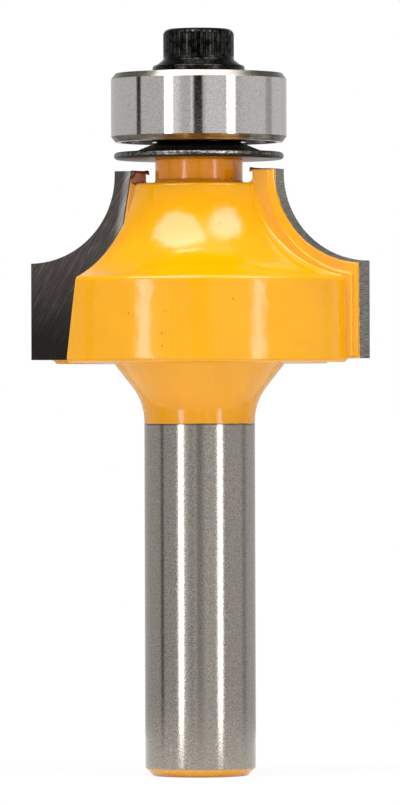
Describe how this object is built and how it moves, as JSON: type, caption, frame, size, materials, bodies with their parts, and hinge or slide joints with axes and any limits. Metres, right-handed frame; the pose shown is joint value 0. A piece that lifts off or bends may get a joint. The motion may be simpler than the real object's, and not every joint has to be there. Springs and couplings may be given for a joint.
{
  "type": "router bit",
  "caption": "Two-wing rounding-over router bit with carbide tips, a plain round shank and a shielded ball-bearing pilot.",
  "frame": {"origin": "centre of the flat end face of the shank, the lowest face of the bit", "axes": "+Z along the tool axis from the shank towards the pilot screw; X and Y lie across it, with the cutting edges at azimuths -15.5 and 164.5 degrees as the picture shows them from -Y"},
  "size_m": [0.0244, 0.0232, 0.0539],
  "materials": {
    "enamelled_steel": "gloss yellow-orange enamel over the head, neck and shank end; the shank is bare satin steel",
    "carbide": "ground tungsten carbide, dark grey with fine grinding lines",
    "black_oxide": "black oxide, worn bright on the edges",
    "bearing_steel": "ground bearing steel",
    "pressed_steel": "pressed stainless sheet"
  },
  "bodies": {
    "bit": {"bit_body": "enamelled_steel", "cutter_a": "carbide", "cutter_b": "carbide", "slinger_washer": "black_oxide", "bearing_inner_ring": "bearing_steel", "pilot_screw": "black_oxide"},
    "pilot_rim": {"bearing_outer_ring": "bearing_steel", "shield_lower": "pressed_steel", "shield_upper": "pressed_steel", "snap_ring_lower": "pressed_steel", "snap_ring_upper": "pressed_steel"},
    "ball_cage": {"cage_lower": "pressed_steel", "cage_upper": "pressed_steel"},
    "ball_1_body": {"ball_1": "bearing_steel"},
    "ball_2_body": {"ball_2": "bearing_steel"},
    "ball_3_body": {"ball_3": "bearing_steel"},
    "ball_4_body": {"ball_4": "bearing_steel"},
    "ball_5_body": {"ball_5": "bearing_steel"},
    "ball_6_body": {"ball_6": "bearing_steel"},
    "ball_7_body": {"ball_7": "bearing_steel"}
  },
  "joints": [
    {"name": "pilot_spin", "type": "hinge", "parent": "bit", "child": "pilot_rim", "pos_m": [0, 0, 0.04824], "axis": [0, 0, 1], "continuous": true},
    {"name": "cage_spin", "type": "hinge", "parent": "bit", "child": "ball_cage", "pos_m": [0, 0, 0.04824], "axis": [0, 0, 1], "continuous": true},
    {"name": "ball_1_spin", "type": "hinge", "parent": "ball_cage", "child": "ball_1_body", "pos_m": [0.00437, 0, 0.04824], "axis": [0, 0, 1], "continuous": true},
    {"name": "ball_2_spin", "type": "hinge", "parent": "ball_cage", "child": "ball_2_body", "pos_m": [0.00272, 0.00341, 0.04824], "axis": [0, 0, 1], "continuous": true},
    {"name": "ball_3_spin", "type": "hinge", "parent": "ball_cage", "child": "ball_3_body", "pos_m": [-0.00097, 0.00426, 0.04824], "axis": [0, 0, 1], "continuous": true},
    {"name": "ball_4_spin", "type": "hinge", "parent": "ball_cage", "child": "ball_4_body", "pos_m": [-0.00393, 0.00189, 0.04824], "axis": [0, 0, 1], "continuous": true},
    {"name": "ball_5_spin", "type": "hinge", "parent": "ball_cage", "child": "ball_5_body", "pos_m": [-0.00393, -0.00189, 0.04824], "axis": [0, 0, 1], "continuous": true},
    {"name": "ball_6_spin", "type": "hinge", "parent": "ball_cage", "child": "ball_6_body", "pos_m": [-0.00097, -0.00426, 0.04824], "axis": [0, 0, 1], "continuous": true},
    {"name": "ball_7_spin", "type": "hinge", "parent": "ball_cage", "child": "ball_7_body", "pos_m": [0.00272, -0.00341, 0.04824], "axis": [0, 0, 1], "continuous": true}
  ],
  "couplings": [
    {"joint": "cage_spin", "follows": "pilot_spin", "ratio": 0.63636},
    {"joint": "ball_1_spin", "follows": "pilot_spin", "ratio": 1.697},
    {"joint": "ball_2_spin", "follows": "pilot_spin", "ratio": 1.697},
    {"joint": "ball_3_spin", "follows": "pilot_spin", "ratio": 1.697},
    {"joint": "ball_4_spin", "follows": "pilot_spin", "ratio": 1.697},
    {"joint": "ball_5_spin", "follows": "pilot_spin", "ratio": 1.697},
    {"joint": "ball_6_spin", "follows": "pilot_spin", "ratio": 1.697},
    {"joint": "ball_7_spin", "follows": "pilot_spin", "ratio": 1.697}
  ]
}
